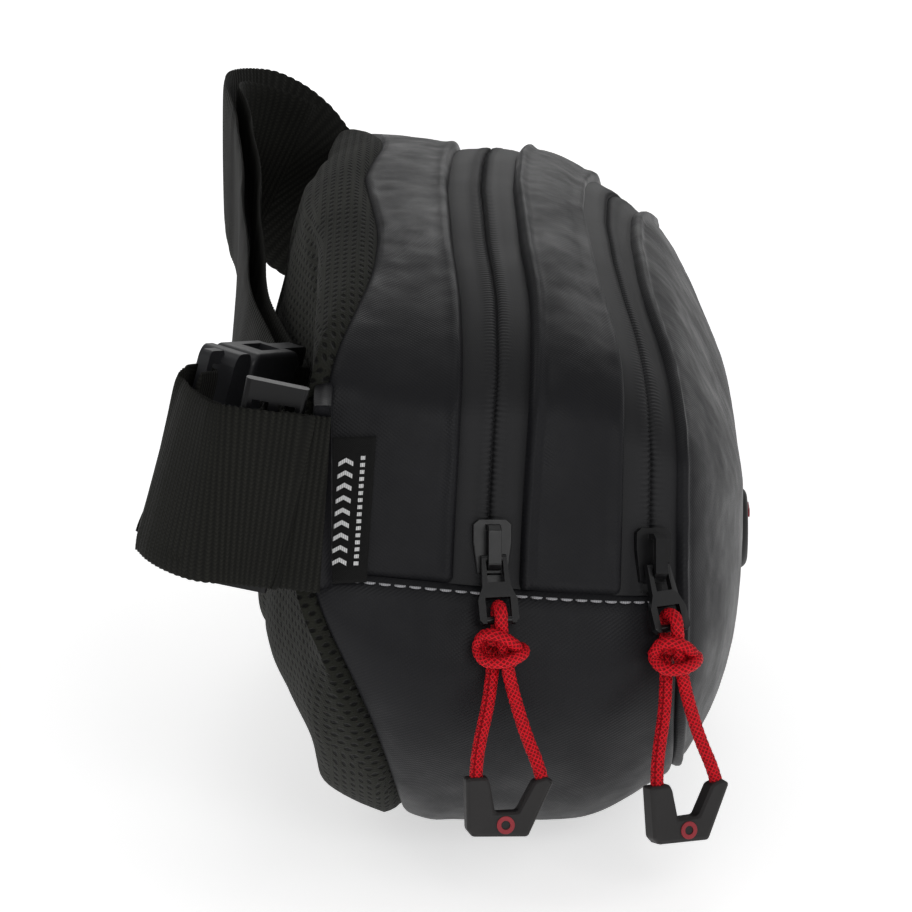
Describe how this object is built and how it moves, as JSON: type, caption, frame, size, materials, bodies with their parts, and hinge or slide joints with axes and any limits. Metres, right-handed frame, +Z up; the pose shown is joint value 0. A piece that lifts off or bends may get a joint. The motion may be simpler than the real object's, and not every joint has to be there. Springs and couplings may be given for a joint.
{
  "type": "waist pack",
  "caption": "Soft waist pack with arched zips, corded zip pulls, a foam back pad and a buckled webbing belt.",
  "frame": {"origin": "middle of the flat underside, where the bag stands", "axes": "+Z up, -Y towards the front of the bag, +Y towards the back pad and belt, X along the bag, with the zip pulls and the buckle at the -X end"},
  "size_m": [0.2834, 0.142, 0.143],
  "materials": {
    "coated_fabric": "coated, satin",
    "lining": "matt",
    "air_mesh": "open knit",
    "webbing": "ribbed weave",
    "zip_tape": "fine weave",
    "zip_coil": "satin",
    "slider_metal": "satin black",
    "cord": "braided",
    "pull_plastic": "matt",
    "mark_red": "matt",
    "buckle_plastic": "moulded, satin",
    "label": "woven twill",
    "badge_rubber": "matt"
  },
  "bodies": {
    "bag": {"back_gusset": "coated_fabric", "mid_gusset": "coated_fabric", "front_panel": "coated_fabric", "bottom_panel": "coated_fabric", "back_panel_lining": "lining", "divider_lining": "lining", "main_zip_tapes": "zip_tape", "main_zip_coils": "zip_coil", "main_zip_stops": "slider_metal", "front_zip_tapes": "zip_tape", "front_zip_coils": "zip_coil", "front_zip_stops": "slider_metal", "pad_board": "air_mesh", "lumbar_pad": "air_mesh", "wing_tab_near": "coated_fabric", "wing_tab_far": "coated_fabric", "near_webbing": "webbing", "far_webbing": "webbing", "web_adjuster": "buckle_plastic", "buckle_female": "buckle_plastic", "side_label": "label", "front_badge": "badge_rubber", "badge_accent": "mark_red"},
    "main_slider": {"main_slider": "slider_metal"},
    "main_pull_tab": {"main_pull_tab": "slider_metal"},
    "main_pull": {"main_pull_cord": "cord", "main_pull_knot": "cord", "main_pull_end": "pull_plastic", "main_pull_mark": "mark_red"},
    "front_slider": {"front_slider": "slider_metal"},
    "front_pull_tab": {"front_pull_tab": "slider_metal"},
    "front_pull": {"front_pull_cord": "cord", "front_pull_knot": "cord", "front_pull_end": "pull_plastic", "front_pull_mark": "mark_red"},
    "buckle_male": {"buckle_male": "buckle_plastic"},
    "prong_upper": {"buckle_prong_upper": "buckle_plastic"},
    "prong_lower": {"buckle_prong_lower": "buckle_plastic"}
  },
  "joints": [
    {"name": "main_zip_slide", "type": "slide", "parent": "bag", "child": "main_slider", "axis": [0.2756, 0, 0.9613], "range_m": [0, 0.02]},
    {"name": "main_tab_flip", "type": "hinge", "parent": "main_slider", "child": "main_pull_tab", "pos_m": [-0.1267, 0.00352, 0.08028], "axis": [-0.1578, 0.9874, -0.0092], "range_deg": [0, 120]},
    {"name": "main_pull_swing", "type": "hinge", "parent": "main_pull_tab", "child": "main_pull", "pos_m": [-0.13377, 0.00228, 0.06825], "axis": [-0.1578, 0.9874, -0.0092], "range_deg": [0, 45]},
    {"name": "front_zip_slide", "type": "slide", "parent": "bag", "child": "front_slider", "axis": [0.2756, 0, 0.9613], "range_m": [0, 0.016]},
    {"name": "front_tab_flip", "type": "hinge", "parent": "front_slider", "child": "front_pull_tab", "pos_m": [-0.11827, -0.03289, 0.0759], "axis": [-0.4469, 0.8946, 0.0014], "range_deg": [0, 120]},
    {"name": "front_pull_swing", "type": "hinge", "parent": "front_pull_tab", "child": "front_pull", "pos_m": [-0.12442, -0.03594, 0.0637], "axis": [-0.4469, 0.8946, 0.0014], "range_deg": [0, 45]},
    {"name": "buckle_release", "type": "slide", "parent": "bag", "child": "buckle_male", "axis": [-0.9192, 0.3345, 0.2079], "range_m": [0, 0.03], "deforming": ["near_webbing"]},
    {"name": "prong_upper_squeeze", "type": "hinge", "parent": "buckle_male", "child": "prong_upper", "pos_m": [-0.0945, 0.06268, 0.11079], "axis": [0.3738, 0.9072, 0.1928], "range_deg": [0, 7], "stiffness_Nm_per_rad": 0.05},
    {"name": "prong_lower_squeeze", "type": "hinge", "parent": "buckle_male", "child": "prong_lower", "pos_m": [-0.0981, 0.07007, 0.08298], "axis": [-0.3738, -0.9072, -0.1928], "range_deg": [0, 7], "stiffness_Nm_per_rad": 0.05}
  ],
  "couplings": [
    {"joint": "prong_lower_squeeze", "follows": "prong_upper_squeeze", "ratio": 1}
  ]
}
